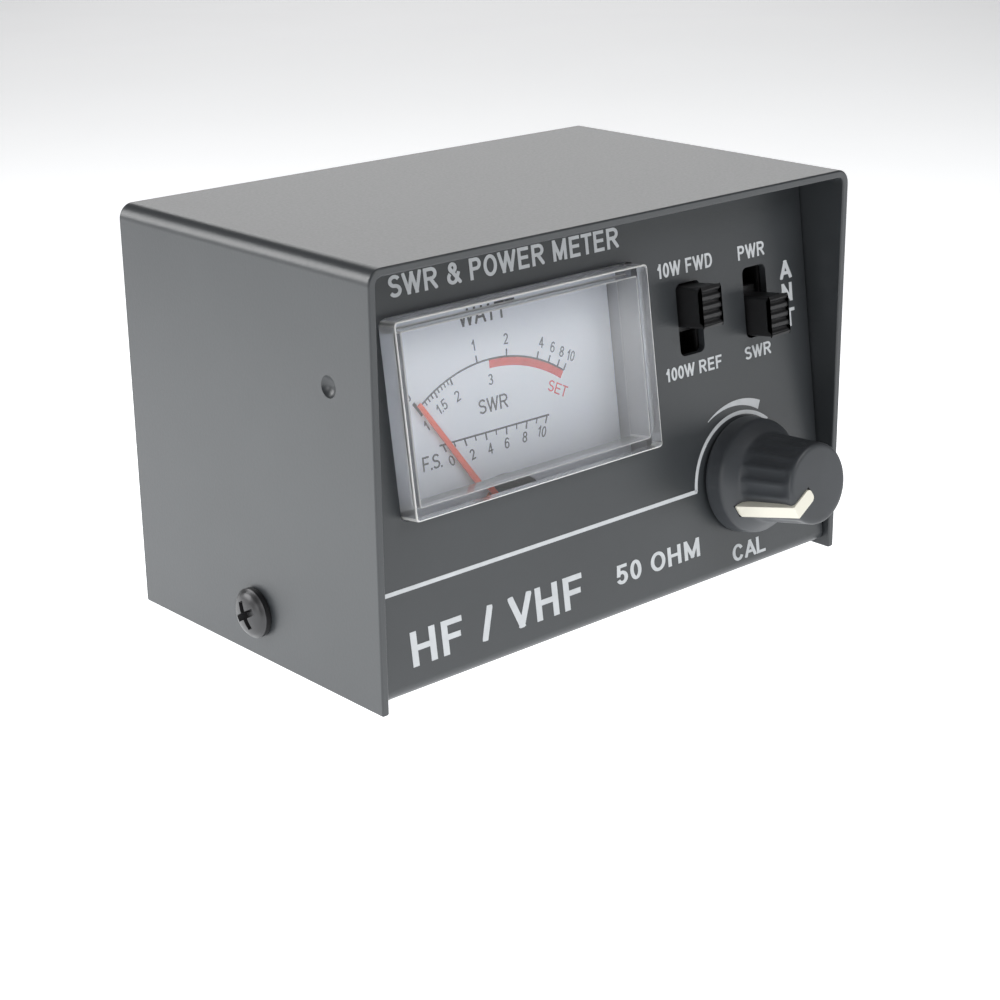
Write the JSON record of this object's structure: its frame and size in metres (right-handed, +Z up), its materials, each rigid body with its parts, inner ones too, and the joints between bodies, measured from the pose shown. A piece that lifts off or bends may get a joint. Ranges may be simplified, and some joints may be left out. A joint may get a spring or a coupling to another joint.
{
  "type": "swr meter",
  "caption": "Compact SWR and power meter: bent steel case with sloped front panel, moving coil meter, slide switches, calibration knob and rear UHF sockets.",
  "frame": {"origin": "middle of the whole meter's footprint, on the surface that its feet stand on", "axes": "+Z up, +X to the right seen from the front, so the front panel faces -Y and the sockets +Y"},
  "size_m": [0.099, 0.0845, 0.0635],
  "materials": {
    "charcoal_paint": "satin powder coat, charcoal",
    "black_steel": "black oxide",
    "black_rubber": "moulded, matt",
    "clear_acrylic": "clear, polished",
    "grey_plastic": "moulded, light grey",
    "black_plastic": "moulded, satin black",
    "cream_plastic": "moulded, cream",
    "dial_white": "printed sheet, cool white",
    "needle_red": "painted, red",
    "plain_steel": "plain, satin",
    "nickel_plate": "nickel plate, bright",
    "brass": "turned, plain",
    "copper": "bare copper",
    "phenolic_board": "paper laminate, brown",
    "white_insulator": "turned, white",
    "diode_glass": "glass body",
    "magnet": "sintered, dark"
  },
  "bodies": {
    "case": {"aerial_socket_contact": "nickel_plate", "aerial_socket_insulator": "white_insulator", "aerial_socket_screw_high": "nickel_plate", "aerial_socket_screw_low": "nickel_plate", "aerial_socket_shell": "nickel_plate", "chassis": "charcoal_paint", "control_board": "phenolic_board", "core_magnet": "magnet", "coupler_board": "phenolic_board", "cover_screw_left": "black_steel", "cover_screw_right": "black_steel", "dial_plate": "dial_white", "dial_screw_left": "plain_steel", "dial_screw_right": "plain_steel", "field_antenna_jack": "black_plastic", "foot_front_left": "black_rubber", "foot_front_right": "black_rubber", "foot_rear_left": "black_rubber", "foot_rear_right": "black_rubber", "forward_diode": "diode_glass", "forward_load_resistor": "cream_plastic", "forward_pickup_line": "copper", "forward_reflected_switch_base": "black_plastic", "forward_reflected_switch_frame": "plain_steel", "hairspring_front": "brass", "hairspring_rear": "brass", "jewel_front": "brass", "jewel_rear": "brass", "meter_housing": "grey_plastic", "meter_lens": "clear_acrylic", "meter_terminal_minus": "brass", "meter_terminal_plus": "brass", "movement_bridge": "brass", "potentiometer_body": "plain_steel", "potentiometer_nut": "nickel_plate", "potentiometer_washer": "nickel_plate", "power_swr_switch_base": "black_plastic", "power_swr_switch_frame": "plain_steel", "reflected_diode": "diode_glass", "reflected_load_resistor": "cream_plastic", "reflected_pickup_line": "copper", "terminal_nut_minus": "nickel_plate", "terminal_nut_plus": "nickel_plate", "through_line": "copper", "top_cover": "charcoal_paint", "transmitter_socket_contact": "nickel_plate", "transmitter_socket_insulator": "white_insulator", "transmitter_socket_screw_high": "nickel_plate", "transmitter_socket_screw_low": "nickel_plate", "transmitter_socket_shell": "nickel_plate", "yoke_ring": "plain_steel"},
    "needle_movement": {"needle": "needle_red", "moving_coil": "copper", "pivot_front": "plain_steel", "pivot_rear": "plain_steel"},
    "calibration_control": {"cal_knob": "black_plastic", "knob_pointer": "cream_plastic", "potentiometer_shaft": "nickel_plate"},
    "forward_reflected_slider": {"forward_reflected_lever": "black_plastic"},
    "power_swr_slider": {"power_swr_lever": "black_plastic"}
  },
  "joints": [
    {"name": "needle_swing", "type": "hinge", "parent": "case", "child": "needle_movement", "pos_m": [-0.0163, -0.02065, 0.01938], "axis": [0, 0.9907, -0.1357], "range_deg": [0, 70], "stiffness_Nm_per_rad": 0.0001},
    {"name": "calibration_turn", "type": "hinge", "parent": "case", "child": "calibration_control", "pos_m": [0.02805, -0.02641, 0.01785], "axis": [0, 0.9907, -0.1357], "range_deg": [-30, 270]},
    {"name": "forward_reflected_slide", "type": "slide", "parent": "case", "child": "forward_reflected_slider", "axis": [0, -0.1357, -0.9907], "range_m": [0, 0.004]},
    {"name": "power_swr_slide", "type": "slide", "parent": "case", "child": "power_swr_slider", "axis": [0, 0.1357, 0.9907], "range_m": [0, 0.004]}
  ]
}
